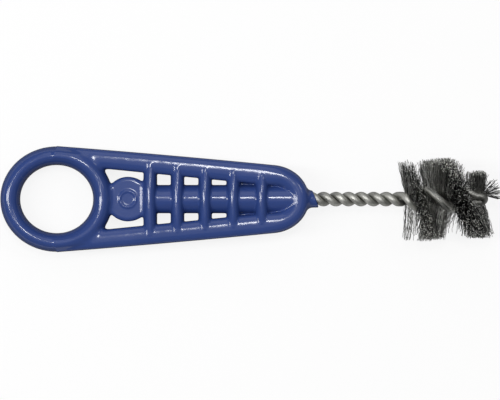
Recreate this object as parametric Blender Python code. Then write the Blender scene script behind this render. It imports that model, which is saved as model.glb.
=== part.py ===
"""A fitting brush: a moulded ring handle, a stem of one folded and twisted wire, and the bristles it grips.

The brush lies along X with its ring at -X, and the handle's broad faces look along +Z and -Z. Shapes are worked
out from the collar's end face at X = 0, and one empty then carries them so that the brush is centred on the
origin. Lengths are in metres.
"""

import math

import bmesh
import bpy
import numpy as np

# Finger ring: an oval hole and the widths of the bar round it
RING_HOLE_LENGTH = 0.0215
RING_HOLE_WIDTH = 0.0200
RING_BACK_WIDTH = 0.00566
RING_SIDE_WIDTH = 0.0055
RING_BRIDGE_WIDTH = 0.00583
RING_TO_NOSE = 0.06289
HANDLE_THICKNESS = 0.0106

# Side rails and the round nose that joins them
RAIL_INSET = 0.0001
RAIL_DROP = 0.0008
RAIL_BOW = 0.00022
RAIL_WIDTH_AT_NOSE = 0.00607
NOSE_POCKET_LENGTH = 0.0055
NOSE_POCKET_WIDTH = 0.00806
NOSE_WALL = 0.00585

# Cross ribs, and the web that closes the narrow slots near the nose
RIB_COUNT = 5
RIB_WIDTH = 0.0040
RIB_DROP = 0.0001
RIB_CROWN = 0.00075
RIB_SHIFT = 0.00025
RIB_TO_NOSE = 0.0026
WEB_THICKNESS = 0.0012

# Disc, centre tube and collar
DISC_DIAMETER = 0.0131
DISC_THICKNESS = 0.0066
DISC_EDGE_RADIUS = 0.0008
DISC_BRIDGE_OVERLAP = 0.00209
DISC_RIB_OVERLAP = 0.0001
TUBE_WALL = 0.00171
COLLAR_WALL = 0.00034
COLLAR_LENGTH = 0.0027
COLLAR_FILLET = 0.0010

# Twisted wire
WIRE_DIAMETER = 0.00195
STRAND_GAP = 0.00042
STEM_LEAD = 0.00733
STEM_FREE_LENGTH = 0.0239
STEM_EMBED_LENGTH = 0.0320
HEAD_LENGTH = 0.0239
HEAD_LEAD = 0.0231
TWIST_EASE_LENGTH = 0.00294
CORE_SWELL_LENGTH = 0.0018

# Bristles and the layer in which the wire grips them
BRUSH_DIAMETER = 0.0240
WORN_DIAMETER = 0.0176
WORN_FROM_SHARE = 0.75
TRIM_SPREAD_SHARE = 0.04
LAYER_THICKNESS = 0.0007
LAYER_WIDTH = 0.0030
LAYER_START_SHARE = 0.72
BRISTLE_WIDTH = 0.0002
BUNDLE_COUNT = 12
STATIONS_PER_BUNDLE = 4
ROW_LEAN_DEGREES = (-16.5, -5.5, 5.5, 16.5)
LEAN_SPREAD_DEGREES = 3.0
TIP_LEAN_DEGREES = 12.0
TIP_LEAN_SHARE = 0.25

# Fits
FIT_CLEARANCE = 0.0003
CUT_OVERRUN = 0.0010

# Smoothness of the curved forms
SECTION_POINTS = 16
SECTION_EXPONENT = 2.4
RING_STATIONS = 40
NOSE_STATIONS = 14
RAIL_STATIONS = 6
RIB_STATIONS = 7
TUBE_SIDES = 24
DISC_SIDES = 40
EDGE_STEPS = 3
WIRE_SIDES = 8
TURN_POINTS = 12
FOLD_POINTS = 9
SLOT_POINTS = 12
SLOT_EXPONENT = 3.0
SHADE_SMOOTH_DEGREES = 35.0

# Sizes that follow from the ones above
RING_WIDTH = RING_HOLE_WIDTH + 2 * RING_SIDE_WIDTH
RAIL_WIDTH_AT_RING = RING_SIDE_WIDTH - RAIL_INSET
RAIL_THICKNESS = HANDLE_THICKNESS - 2 * RAIL_DROP
RIB_END_THICKNESS = RAIL_THICKNESS - 2 * RIB_DROP
NOSE_LENGTH = NOSE_POCKET_LENGTH + NOSE_WALL
NOSE_WIDTH = NOSE_POCKET_WIDTH + 2 * RAIL_WIDTH_AT_NOSE
WIRE_RADIUS = WIRE_DIAMETER / 2
STEM_STRAND_RADIUS = WIRE_RADIUS + STRAND_GAP / 2
HEAD_STRAND_RADIUS = WIRE_RADIUS + FIT_CLEARANCE + LAYER_THICKNESS / 2
SLOT_RADIUS = STEM_STRAND_RADIUS + WIRE_RADIUS + FIT_CLEARANCE
TUBE_RADIUS = SLOT_RADIUS + TUBE_WALL
COLLAR_RADIUS = SLOT_RADIUS + COLLAR_WALL

# Places along X that several shapes share, from the collar's end face at zero
NOSE_TIP_X = -COLLAR_LENGTH
NOSE_CREST_X = NOSE_TIP_X - NOSE_WALL / 2
NOSE_CENTRE_X = NOSE_TIP_X - NOSE_LENGTH
RING_CENTRE_X = NOSE_CENTRE_X - RING_TO_NOSE
BRIDGE_EDGE_X = RING_CENTRE_X + RING_HOLE_LENGTH / 2 + RING_BRIDGE_WIDTH
DISC_CENTRE_X = BRIDGE_EDGE_X + DISC_DIAMETER / 2 - DISC_BRIDGE_OVERLAP
BACK_RIB_X = DISC_CENTRE_X + DISC_DIAMETER / 2 - DISC_RIB_OVERLAP
FRONT_RIB_X = NOSE_CENTRE_X - RIB_TO_NOSE
HEAD_START_X = STEM_FREE_LENGTH
FOLD_CENTRE_X = HEAD_START_X + HEAD_LENGTH
LAYER_START_X = HEAD_START_X + LAYER_START_SHARE * CORE_SWELL_LENGTH


def clear_scene():
    """Start from an empty scene."""
    for item in list(bpy.data.objects):
        bpy.data.objects.remove(item, do_unlink=True)


def new_material(name, colour, metallic, roughness):
    """A plain finish for one kind of material."""
    material = bpy.data.materials.new(name)
    material.use_nodes = True
    shader = material.node_tree.nodes["Principled BSDF"]
    shader.inputs["Base Color"].default_value = (*colour, 1.0)
    shader.inputs["Metallic"].default_value = metallic
    shader.inputs["Roughness"].default_value = roughness
    return material


def handle_plastic():
    """Glossy violet blue moulded plastic."""
    return new_material("moulded_blue_plastic", (0.05, 0.07, 0.24), 0.0, 0.25)


def stem_steel():
    """Bright drawn steel wire."""
    return new_material("drawn_steel_wire", (0.42, 0.42, 0.40), 1.0, 0.35)


def bristle_steel():
    """Dark tempered steel filament."""
    return new_material("dark_steel_filament", (0.06, 0.06, 0.055), 1.0, 0.45)


def mesh_object(name, points, faces):
    """An object from a list of points and faces, with its faces turned outwards."""
    mesh = bpy.data.meshes.new(name)
    mesh.from_pydata([tuple(map(float, p)) for p in points], [], faces)
    work = bmesh.new()
    work.from_mesh(mesh)
    bmesh.ops.recalc_face_normals(work, faces=work.faces)
    work.to_mesh(mesh)
    work.free()
    mesh.shade_smooth()
    mesh.set_sharp_from_angle(angle=math.radians(SHADE_SMOOTH_DEGREES))
    item = bpy.data.objects.new(name, mesh)
    bpy.context.scene.collection.objects.link(item)
    return item


def make_guide(item):
    """Mark a shape that only builds another one."""
    item.hide_render = True
    item.display_type = "WIRE"
    return item


def loft(rings, closed):
    """Points and faces of a skin over equal rings of points; an open run gets a cap at each end."""
    count, sides = rings.shape[0], rings.shape[1]
    index = np.arange(count * sides).reshape(count, sides)
    ahead = np.roll(index, -1, axis=0) if closed else index[1:]
    start = index if closed else index[:-1]
    quads = np.stack([start, np.roll(start, -1, axis=1), np.roll(ahead, -1, axis=1), ahead], axis=-1)
    faces = quads.reshape(-1, 4).tolist()
    if not closed:
        faces.append(index[0][::-1].tolist())
        faces.append(index[-1].tolist())
    return rings.reshape(-1, 3), faces


def superellipse(points, exponent):
    """Unit outline between a circle and a square: each coordinate is its cosine or sine to the power 2/exponent."""
    angle = np.arange(points) * 2 * math.pi / points
    across = np.sign(np.cos(angle)) * np.abs(np.cos(angle)) ** (2 / exponent)
    up = np.sign(np.sin(angle)) * np.abs(np.sin(angle)) ** (2 / exponent)
    return across, up


def lofted_bar(name, inner_edge, outer_edge, thickness, closed=False):
    """A bar of rounded section between two edges drawn in plan, as tall as its thickness at each station."""
    across, up = superellipse(SECTION_POINTS, SECTION_EXPONENT)
    middle = (inner_edge + outer_edge) / 2
    reach = (outer_edge - inner_edge) / 2
    plan = middle[:, None, :] + reach[:, None, :] * across[None, :, None]
    height = np.broadcast_to(thickness, len(plan))[:, None] * up / 2
    rings = np.concatenate([plan, height[:, :, None]], axis=2)
    return make_guide(mesh_object(name, *loft(rings, closed)))


def turned(name, profile, sides, along_x):
    """A solid of revolution from (axial, radial) points, about X or about Z."""
    angle = np.arange(sides) * 2 * math.pi / sides
    axial, radial = np.array(profile).T
    spin_a = radial[:, None] * np.cos(angle)
    spin_b = radial[:, None] * np.sin(angle)
    axis = np.broadcast_to(axial[:, None], spin_a.shape)
    order = (axis, spin_a, spin_b) if along_x else (spin_a, spin_b, axis)
    return make_guide(mesh_object(name, *loft(np.stack(order, axis=-1), False)))


def ellipse_points(centre_x, half_length, half_width, angles):
    """Points of an ellipse in plan at the given angles from +X."""
    return np.stack([centre_x + half_length * np.cos(angles), half_width * np.sin(angles)], axis=-1)


def ring_member():
    """The finger ring: its bar runs between the oval hole and an outer oval that is fuller at the back."""
    angles = np.arange(RING_STATIONS) * 2 * math.pi / RING_STATIONS
    hole_reach = RING_HOLE_LENGTH / 2
    bar_width = np.where(np.cos(angles) > 0, RING_BRIDGE_WIDTH, RING_BACK_WIDTH)
    inner = ellipse_points(RING_CENTRE_X, hole_reach, RING_HOLE_WIDTH / 2, angles)
    outer = ellipse_points(RING_CENTRE_X, hole_reach + bar_width, RING_WIDTH / 2, angles)
    return lofted_bar("ring_member", inner, outer, HANDLE_THICKNESS, closed=True)


def bulge(share):
    """A parabola that is zero at shares 0 and 1 and one half way between."""
    return 4 * share * (1 - share)


def rail_edge(at_ring, at_nose, x, bow=0.0):
    """Y of a rail edge at x, from its value over the ring's centre to its value at the nose."""
    share = (x - RING_CENTRE_X) / RING_TO_NOSE
    return at_ring + (at_nose - at_ring) * share + bow * bulge(share)


def rail_crest(x):
    """Y of the rail's middle at x, where its crest runs."""
    at_ring = (RING_WIDTH - RAIL_WIDTH_AT_RING) / 2
    at_nose = (NOSE_WIDTH - RAIL_WIDTH_AT_NOSE) / 2
    return rail_edge(at_ring, at_nose, x, RAIL_BOW / 2)


def rail_member():
    """Both side rails and the nose as one bent bar, from the ring's top round the nose to the ring's foot."""
    outer_at_ring = RING_WIDTH / 2
    inner_at_ring = outer_at_ring - RAIL_WIDTH_AT_RING
    outer_at_nose = NOSE_WIDTH / 2
    inner_at_nose = NOSE_POCKET_WIDTH / 2
    x = np.linspace(RING_CENTRE_X + RING_BRIDGE_WIDTH / 2, NOSE_CENTRE_X, RAIL_STATIONS)[:-1]
    outer_rail = np.stack([x, rail_edge(outer_at_ring, outer_at_nose, x, RAIL_BOW)], axis=-1)
    inner_rail = np.stack([x, rail_edge(inner_at_ring, inner_at_nose, x)], axis=-1)
    angles = np.linspace(math.pi / 2, -math.pi / 2, NOSE_STATIONS)
    outer_nose = ellipse_points(NOSE_CENTRE_X, NOSE_LENGTH, outer_at_nose, angles)
    inner_nose = ellipse_points(NOSE_CENTRE_X, NOSE_POCKET_LENGTH, inner_at_nose, angles)
    mirror = np.array([1, -1])
    outer = np.vstack([outer_rail, outer_nose, outer_rail[::-1] * mirror])
    inner = np.vstack([inner_rail, inner_nose, inner_rail[::-1] * mirror])
    return lofted_bar("rail_member", inner, outer, RAIL_THICKNESS)


def rib_place(number):
    """X of a rib's middle: the ribs stand a little closer to each other near the disc."""
    share = number / (RIB_COUNT - 1)
    return BACK_RIB_X + (FRONT_RIB_X - BACK_RIB_X) * share - RIB_SHIFT * bulge(share)


def rib_member(number):
    """One cross rib, which ends on the crest lines of the two rails and is crowned between them."""
    x = rib_place(number)
    share = np.linspace(0, 1, RIB_STATIONS)
    y = rail_crest(x) * (2 * share - 1)
    left = np.stack([np.full(RIB_STATIONS, x - RIB_WIDTH / 2), y], axis=-1)
    right = np.stack([np.full(RIB_STATIONS, x + RIB_WIDTH / 2), y], axis=-1)
    thickness = RIB_END_THICKNESS + 2 * RIB_CROWN * bulge(share)
    return lofted_bar(f"rib_member_{number + 1}", left, right, thickness)


def web_member():
    """The thin web between the rails from the last rib but one to the nose."""
    corners = ((-1, -1), (1, -1), (1, 1), (-1, 1))
    half = WEB_THICKNESS / 2
    places = (rib_place(RIB_COUNT - 2), NOSE_CENTRE_X)
    rings = [[(x, across * rail_crest(x), up * half) for across, up in corners] for x in places]
    return make_guide(mesh_object("web_member", *loft(np.array(rings), False)))


def tube_member():
    """The centre tube that holds the stem, from the rib at the disc into the nose."""
    profile = [(BACK_RIB_X, TUBE_RADIUS), (NOSE_CREST_X, TUBE_RADIUS)]
    return turned("tube_member", profile, TUBE_SIDES, along_x=True)


def collar_member():
    """The short collar round the stem, with a hollow fillet where it leaves the nose."""
    angles = np.linspace(0, math.pi / 2, EDGE_STEPS + 1)
    fillet_x = NOSE_TIP_X + COLLAR_FILLET * (np.sin(angles) - 1 / 2)
    fillet_r = COLLAR_RADIUS + COLLAR_FILLET * (1 - np.sin(angles))
    profile = [(NOSE_CREST_X, COLLAR_RADIUS + COLLAR_FILLET)]
    profile += list(zip(fillet_x, fillet_r))
    profile += [(0.0, COLLAR_RADIUS)]
    return turned("collar_member", profile, TUBE_SIDES, along_x=True)


def disc_member():
    """The flat round disc between ring and first rib, the same on both faces, with rounded edges."""
    angles = np.linspace(0, math.pi / 2, EDGE_STEPS + 1)
    edge_r = DISC_DIAMETER / 2 - DISC_EDGE_RADIUS * (1 - np.cos(angles))
    edge_z = DISC_THICKNESS / 2 - DISC_EDGE_RADIUS * (1 - np.sin(angles))
    upper = list(zip(edge_z, edge_r))
    lower = [(-z, r) for z, r in reversed(upper)]
    disc = turned("disc_member", lower + upper, DISC_SIDES, along_x=False)
    disc.location.x = DISC_CENTRE_X
    return disc


def smooth_step(value):
    """Zero below 0, one above 1, and an even S between them."""
    t = np.clip(value, 0.0, 1.0)
    return t * t * (3 - 2 * t)


def twist_angle(x):
    """Angle of the first strand about X: a tight even twist in the stem that eases to the slack one of the head."""
    stem_rate = 2 * math.pi / STEM_LEAD
    head_rate = 2 * math.pi / HEAD_LEAD
    into_head = np.maximum(x - HEAD_START_X, 0)
    before_head = np.minimum(x - HEAD_START_X, 0)
    eased = TWIST_EASE_LENGTH * (1 - np.exp(-into_head / TWIST_EASE_LENGTH))
    return stem_rate * before_head + head_rate * into_head + (stem_rate - head_rate) * eased


def strand_radius(x):
    """Distance of a strand's centre line from the axis: the strands part where they grip the bristles."""
    parted = smooth_step((x - HEAD_START_X) / CORE_SWELL_LENGTH)
    return STEM_STRAND_RADIUS + (HEAD_STRAND_RADIUS - STEM_STRAND_RADIUS) * parted


def turned_point(x, radius, angle):
    """Points at a radius and an angle about X."""
    return np.stack([x, radius * np.cos(angle), radius * np.sin(angle)], axis=-1)


def stem_stations():
    """X of the wire's points from its cut end to the start of the head, evenly spaced round the twist."""
    length = STEM_EMBED_LENGTH + HEAD_START_X
    steps = math.ceil(length / STEM_LEAD * TURN_POINTS)
    return np.linspace(-STEM_EMBED_LENGTH, HEAD_START_X, steps + 1)


def wire_route():
    """Centre line of the folded wire: out along one strand, round the fold and back along the other."""
    turn = twist_angle(np.array([FOLD_CENTRE_X]))[0] / (2 * math.pi)
    steps = math.ceil((turn + HEAD_LENGTH / STEM_LEAD / 2) * TURN_POINTS)
    head = np.linspace(HEAD_START_X, FOLD_CENTRE_X, steps + 1)[1:]
    x = np.concatenate([stem_stations(), head])
    out = turned_point(x, strand_radius(x), twist_angle(x))
    back = turned_point(x[::-1], -strand_radius(x[::-1]), twist_angle(x[::-1]))
    fold = np.linspace(0, math.pi, FOLD_POINTS + 2)[1:-1]
    fold_x = FOLD_CENTRE_X + HEAD_STRAND_RADIUS * np.sin(fold)
    middle = turned_point(fold_x, HEAD_STRAND_RADIUS * np.cos(fold), twist_angle(fold_x))
    return np.vstack([out, middle, back])


def least_strand_gap(route):
    """Least free distance between the two strands of the route, fold left out."""
    half = (len(route) - FOLD_POINTS) // 2
    first, second = route[:half], route[half + FOLD_POINTS:]
    apart = np.linalg.norm(first[:, None, :] - second[None, :, :], axis=2)
    return apart.min() - 2 * WIRE_RADIUS


def make_stem():
    """The stem: one round wire, folded at the tip of the brush and twisted on itself."""
    route = wire_route()
    print(f"least gap between the wire's strands: {least_strand_gap(route) * 1000:.3f} mm")
    curve = bpy.data.curves.new("stem_wire", "CURVE")
    curve.dimensions = "3D"
    curve.bevel_depth = WIRE_RADIUS
    curve.bevel_resolution = (WIRE_SIDES - 4) // 2
    curve.use_fill_caps = True
    spline = curve.splines.new("POLY")
    spline.points.add(len(route) - 1)
    homogeneous = np.column_stack([route, np.ones(len(route))])
    spline.points.foreach_set("co", homogeneous.ravel())
    item = bpy.data.objects.new("stem_wire", curve)
    bpy.context.scene.collection.objects.link(item)
    return item


def stem_slot():
    """The cut that the stem leaves in the handle: a rounded slot round both strands that twists with them."""
    along = stem_stations()
    inner_end = -STEM_EMBED_LENGTH - WIRE_RADIUS - FIT_CLEARANCE
    x = np.concatenate([[inner_end], along[along < 0], [CUT_OVERRUN]])
    slant = math.hypot(1, 2 * math.pi * STEM_STRAND_RADIUS / STEM_LEAD)
    half_long = SLOT_RADIUS
    half_wide = (WIRE_RADIUS + FIT_CLEARANCE) * slant
    across, up = superellipse(SLOT_POINTS, SLOT_EXPONENT)
    angle = twist_angle(x)[:, None]
    y = half_long * across * np.cos(angle) - half_wide * up * np.sin(angle)
    z = half_long * across * np.sin(angle) + half_wide * up * np.cos(angle)
    rings = np.stack([np.broadcast_to(x[:, None], y.shape), y, z], axis=-1)
    return make_guide(mesh_object("stem_slot", *loft(rings, False)))


def make_handle():
    """The moulded handle: every member fused into one body, with the stem's slot left open at the collar."""
    members = [rail_member(), tube_member(), disc_member(), collar_member()]
    members += [web_member()] + [rib_member(number) for number in range(RIB_COUNT)]
    handle = ring_member()
    handle.name = "handle"
    handle.hide_render = False
    handle.display_type = "TEXTURED"
    for member in members:
        fuse = handle.modifiers.new(f"fuse {member.name}", "BOOLEAN")
        fuse.operation = "UNION"
        fuse.solver = "EXACT"
        fuse.object = member
    slot = stem_slot()
    cut = handle.modifiers.new("stem slot", "BOOLEAN")
    cut.operation = "DIFFERENCE"
    cut.solver = "EXACT"
    cut.object = slot
    return handle, members + [slot]


def bundle_lines(number):
    """X of a bundle's cross sections, evenly spaced over its slice: bristles stand in every second cell."""
    pitch = (FOLD_CENTRE_X - LAYER_START_X) / BUNDLE_COUNT
    first = LAYER_START_X + number * pitch
    return np.linspace(first, first + pitch - FIT_CLEARANCE, 2 * STATIONS_PER_BUNDLE + 2)


def layer_axes(x):
    """Unit directions of the twisted layer at x: outward along its bristles, and sideways to the first strand."""
    angle = twist_angle(x)
    outward = np.array([0.0, -math.sin(angle), math.cos(angle)])
    sideways = np.array([0.0, math.cos(angle), math.sin(angle)])
    return outward, sideways


def layer_section(x):
    """Corners of the layer's cross section at x: the bristle rows' borders on one edge, then on the other."""
    outward, sideways = layer_axes(x)
    half = strand_radius(x) - WIRE_RADIUS - FIT_CLEARANCE
    steps = np.linspace(-half, half, len(ROW_LEAN_DEGREES) + 1)[:, None]
    centre = np.array([x, 0.0, 0.0])
    edges = [centre + side * (outward * LAYER_WIDTH / 2 + sideways * steps) for side in (1, -1)]
    return np.vstack(edges)


def bristle_lean(x, row, chance):
    """Lean of a bristle along the stem in radians. The rows lean apart, and the last bristles fan out forwards."""
    near_tip = smooth_step((x - FOLD_CENTRE_X) / (HEAD_LENGTH * TIP_LEAN_SHARE) + 1)
    lean = ROW_LEAN_DEGREES[row] + chance.uniform(-1, 1) * LEAN_SPREAD_DEGREES
    if row == len(ROW_LEAN_DEGREES) - 1:
        lean += TIP_LEAN_DEGREES * near_tip
    return math.radians(lean)


def bristle_radius(x, side, chance):
    """Radius at which a bristle ends. One ridge is full to the tip, the other is worn down there."""
    along = (x - HEAD_START_X) / HEAD_LENGTH
    worn = smooth_step((along - WORN_FROM_SHARE) / (1 - WORN_FROM_SHARE)) if side < 0 else 0.0
    diameter = BRUSH_DIAMETER + (WORN_DIAMETER - BRUSH_DIAMETER) * worn
    return diameter / 2 * (1 - TRIM_SPREAD_SHARE * chance.uniform(0, 1))


def bristle_end(root, x, side, row, chance):
    """Corners of a bristle's square cut end, above the middle of its root face."""
    outward, sideways = layer_axes(x)
    along = np.array([1.0, 0.0, 0.0])
    lean = bristle_lean(x, row, chance)
    height = bristle_radius(x, side, chance) - LAYER_WIDTH / 2
    middle = root.mean(axis=0) + side * outward * height + along * height * math.tan(lean)
    half_along = (along * math.cos(lean) - side * outward * math.sin(lean)) * BRISTLE_WIDTH / 2
    half_side = sideways * side * BRISTLE_WIDTH / 2
    corners = [-half_along - half_side, half_along - half_side, half_along + half_side, half_side - half_along]
    return middle + np.array(corners)


def bundle_mesh(number, chance):
    """Points and faces of a slice of the gripped layer, whose two edges carry rows of four sided bristles."""
    lines = bundle_lines(number)
    rows = len(ROW_LEAN_DEGREES)
    ring = 2 * (rows + 1)
    points = [point for x in lines for point in layer_section(x)]
    last = (len(lines) - 1) * ring
    faces = [list(range(ring))[::-1], list(range(last, last + ring))]
    for cell in range(len(lines) - 1):
        here = cell * ring
        ahead = here + ring
        faces.append([here + rows, ahead + rows, ahead + rows + 1, here + rows + 1])
        faces.append([here + ring - 1, ahead + ring - 1, ahead, here])
        for edge, side in ((0, 1), (rows + 1, -1)):
            for row in range(rows):
                near, far = here + edge + row, ahead + edge + row
                root = [near, far, far + 1, near + 1]
                if cell % 2 == 0:
                    faces.append(root)
                    continue
                x = (lines[cell] + lines[cell + 1]) / 2
                end = bristle_end(np.array([points[corner] for corner in root]), x, side, row, chance)
                tip = list(range(len(points), len(points) + 4))
                points.extend(end)
                faces.append(tip)
                faces += [[root[k], root[k - 3], tip[k - 3], tip[k]] for k in range(4)]
    return points, faces


def make_bundle(number, chance):
    """One named bundle of bristles, fused to its slice of the gripped layer."""
    points, faces = bundle_mesh(number, chance)
    return mesh_object(f"bristle_bundle_{number + 1:02d}", points, faces)


def centre_on_origin(items, bundles):
    """Carry every piece on one empty, which centres the brush's length on the origin."""
    back_x = RING_CENTRE_X - RING_HOLE_LENGTH / 2 - RING_BACK_WIDTH
    front_x = max(vertex.co.x for bundle in bundles for vertex in bundle.data.vertices)
    frame = bpy.data.objects.new("brush_frame", None)
    bpy.context.scene.collection.objects.link(frame)
    frame.location.x = -(back_x + front_x) / 2
    for item in items:
        item.parent = frame
    print(f"collar's end face at x = {frame.location.x * 1000:.3f} mm")


def main():
    """Build the brush."""
    clear_scene()
    handle, guides = make_handle()
    handle.data.materials.append(handle_plastic())
    stem = make_stem()
    stem.data.materials.append(stem_steel())
    chance = np.random.default_rng(7)
    bundles = [make_bundle(number, chance) for number in range(BUNDLE_COUNT)]
    filament = bristle_steel()
    for bundle in bundles:
        bundle.data.materials.append(filament)
    centre_on_origin([handle, stem] + bundles + guides, bundles)


main()
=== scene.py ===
"""Looks of a pipe fitting brush: moulded ring handle, folded and twisted wire stem, and steel bristles.

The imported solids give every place: shapes are worked out in millimetres from the handle's collar, as the
solids are, and then carried to where the collar stands in the frame.
"""

import logging
import math
from collections.abc import Callable
from dataclasses import dataclass, field
from enum import Enum
from itertools import product

import bpy
import numpy as np
from bpy.types import Material, Node, NodeSocket, NodeTree, Object
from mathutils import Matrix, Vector
from numpy.typing import NDArray


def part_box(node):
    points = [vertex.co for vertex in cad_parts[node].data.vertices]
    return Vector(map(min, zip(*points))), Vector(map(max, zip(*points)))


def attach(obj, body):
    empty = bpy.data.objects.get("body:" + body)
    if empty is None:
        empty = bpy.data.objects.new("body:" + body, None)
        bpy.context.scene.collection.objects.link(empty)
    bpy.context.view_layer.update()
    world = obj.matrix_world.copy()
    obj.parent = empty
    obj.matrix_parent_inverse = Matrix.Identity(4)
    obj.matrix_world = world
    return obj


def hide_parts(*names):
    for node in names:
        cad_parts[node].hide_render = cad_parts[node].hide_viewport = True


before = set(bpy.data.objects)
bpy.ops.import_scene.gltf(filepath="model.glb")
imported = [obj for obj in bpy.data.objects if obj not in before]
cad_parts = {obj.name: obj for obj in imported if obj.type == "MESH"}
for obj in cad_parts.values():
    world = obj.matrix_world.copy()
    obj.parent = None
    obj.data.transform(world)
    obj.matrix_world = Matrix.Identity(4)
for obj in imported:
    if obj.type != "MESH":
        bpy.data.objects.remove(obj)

Array = NDArray[np.float64]
Indices = NDArray[np.int64]
Field = Callable[[Array], Array]
Sockets = dict[str | int, object]
Span = tuple[float, float]
Table = tuple[tuple[float, ...], ...]

# Points by filament and station, a side direction for each, and each filament's tone
Strip = tuple[Array, Array, Array]

MM = 0.001
TINY = 1e-9
BODY = "root"
LOG = logging.getLogger("fitting_brush")


class Slot(Enum):
    """The record's material slots."""

    PLASTIC = "handle_plastic"
    STEM = "stem_steel"
    BRISTLE = "bristle_steel"


class Ridge(Enum):
    """The two helical ridges of the head, by the side of the gripped layer on which their bristles stand."""

    FULL = 1
    WORN = -1


def hex_to_linear(code: str) -> tuple[float, float, float, float]:
    """Turn an sRGB hex colour into linear light.

    Args:
        code: Six hex digits, with or without a leading hash.

    Returns:
        Red, green, blue and an alpha of one.
    """
    parts = [int(code.lstrip("#")[k:k + 2], 16) / 255 for k in (0, 2, 4)]
    linear = [c / 12.92 if c <= 0.04045 else ((c + 0.055) / 1.055) ** 2.4 for c in parts]
    return (linear[0], linear[1], linear[2], 1.0)


def plug(tree: NodeTree, node: Node, sockets: Sockets) -> None:
    """Set inputs of a shader node.

    Args:
        tree: The node tree that holds the node.
        node: The node.
        sockets: For each input, by name or number, its value, or the output that is linked to it, or the node
            whose first output is.
    """
    for name, value in sockets.items():
        if isinstance(value, Node):
            value = value.outputs[0]
        if isinstance(value, NodeSocket):
            tree.links.new(value, node.inputs[name])
        else:
            node.inputs[name].default_value = value


def add_node(tree: NodeTree, kind: str, sockets: Sockets | None = None, **settings: object) -> Node:
    """Add a shader node with its settings, values and links.

    Args:
        tree: The node tree that takes the node.
        kind: The node's class name without its ShaderNode prefix.
        sockets: Its inputs, as plug() takes them.
        settings: The node's own properties.

    Returns:
        The new node.
    """
    node = tree.nodes.new("ShaderNode" + kind)
    for name, value in settings.items():
        setattr(node, name, value)
    plug(tree, node, sockets or {})
    return node


def new_material(name: str) -> tuple[Material, NodeTree, Node]:
    """Make a material, and give it with its node tree and its Principled shader."""
    material = bpy.data.materials.new(name)
    material.use_nodes = True
    return material, material.node_tree, material.node_tree.nodes["Principled BSDF"]


def smooth_step(value: Array, start: float, end: float) -> Array:
    """Zero up to the start, one from the end on, and 3t^2 - 2t^3 between them."""
    t = np.clip((value - start) / (end - start), 0.0, 1.0)
    return t * t * (3 - 2 * t)


def between(limits: tuple[Array | float, Array | float], share: Array) -> Array:
    """The value that lies a share of the way from the first limit to the second."""
    return limits[0] + (limits[1] - limits[0]) * share


def radial(angle: Array) -> Array:
    """Unit vectors square to the brush's axis, at angles about it."""
    return np.stack([np.zeros_like(angle), np.cos(angle), np.sin(angle)], axis=-1)


def read_table(rows: Table, share: Array) -> list[Array]:
    """Values of a table's columns at each share, straight between rows, which start with their share."""
    table = np.array(rows)
    return [np.interp(share, table[:, 0], column) for column in table[:, 1:].T]


def unit(vectors: Array) -> Array:
    """The vectors along the last axis, divided by their lengths."""
    return vectors / np.maximum(np.linalg.norm(vectors, axis=-1, keepdims=True), TINY)


def add_object(name: str, data: bpy.types.ID) -> Object:
    """Put a mesh, a lamp or a camera in the scene as an object."""
    made = bpy.data.objects.new(name, data)
    bpy.context.scene.collection.objects.link(made)
    return made


def new_piece(name: str, points: Array, face_sets: list[Indices]) -> Object:
    """Make a smooth shaded mesh object at the origin.

    Args:
        name: The piece's name.
        points: One row of coordinates in millimetres for each vertex.
        face_sets: Arrays of vertex numbers, each with one face a row.

    Returns:
        The linked object.
    """
    corners = np.concatenate([faces.ravel() for faces in face_sets])
    sizes = np.concatenate([np.full(len(faces), faces.shape[1]) for faces in face_sets])
    mesh = bpy.data.meshes.new(name)
    mesh.vertices.add(len(points))
    mesh.vertices.foreach_set("co", (points * MM).astype(np.float32).ravel())
    mesh.loops.add(len(corners))
    mesh.loops.foreach_set("vertex_index", corners.astype(np.int32))
    mesh.polygons.add(len(sizes))
    mesh.polygons.foreach_set("loop_start", (np.cumsum(sizes) - sizes).astype(np.int32))
    mesh.update(calc_edges=True)
    mesh.validate()
    mesh.shade_smooth()
    return add_object(name, mesh)


def hand_over(piece: Object, material: Material, node: str) -> None:
    """Dress a piece, put it on its body and let it stand for its CAD node.

    Args:
        piece: The finished piece.
        material: Its finish.
        node: The CAD node that it replaces.
    """
    piece.data.materials.append(material)
    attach(piece, BODY)
    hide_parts(node)
    LOG.info("%s: %d faces", piece.name, len(piece.data.polygons))


def swept_tube(path: Array, side: Array, radius: Array, sides: int) -> Array:
    """Carry a circle along many paths at once.

    A ring point is the path's point + radius * (a cos(t) + b sin(t)), where a is the side direction made
    square to the path, b is square to both, and t runs once round.

    Args:
        path: Points of the paths, the last two axes being the point along and x, y, z.
        side: A direction for each point, not along the path.
        radius: The circle's radius at each point.
        sides: Points round the circle.

    Returns:
        Points of the tubes, with an axis of the sides before x, y, z.
    """
    along = unit(np.gradient(path, axis=-2))
    first = unit(side - (side * along).sum(-1, keepdims=True) * along)
    second = np.cross(along, first)
    turn = np.arange(sides) * 2 * math.pi / sides
    rim = first[..., None, :] * np.cos(turn)[:, None] + second[..., None, :] * np.sin(turn)[:, None]
    return path[..., None, :] + radius[..., None, None] * rim


def tube_faces(tubes: int, stations: int, sides: int) -> list[Indices]:
    """Faces of equal tubes whose points run by tube, station and side, with a flat cap at both ends.

    Args:
        tubes: How many tubes there are.
        stations: Rings along each tube.
        sides: Points round each ring.

    Returns:
        The walls as quads and the caps as one face each, all looking outwards.
    """
    index = np.arange(tubes * stations * sides).reshape(tubes, stations, sides)
    here, ahead = index[:, :-1], index[:, 1:]
    walls = np.stack([here, np.roll(here, -1, 2), np.roll(ahead, -1, 2), ahead], axis=-1)
    return [walls.reshape(-1, 4), index[:, 0, ::-1], index[:, -1]]


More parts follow.
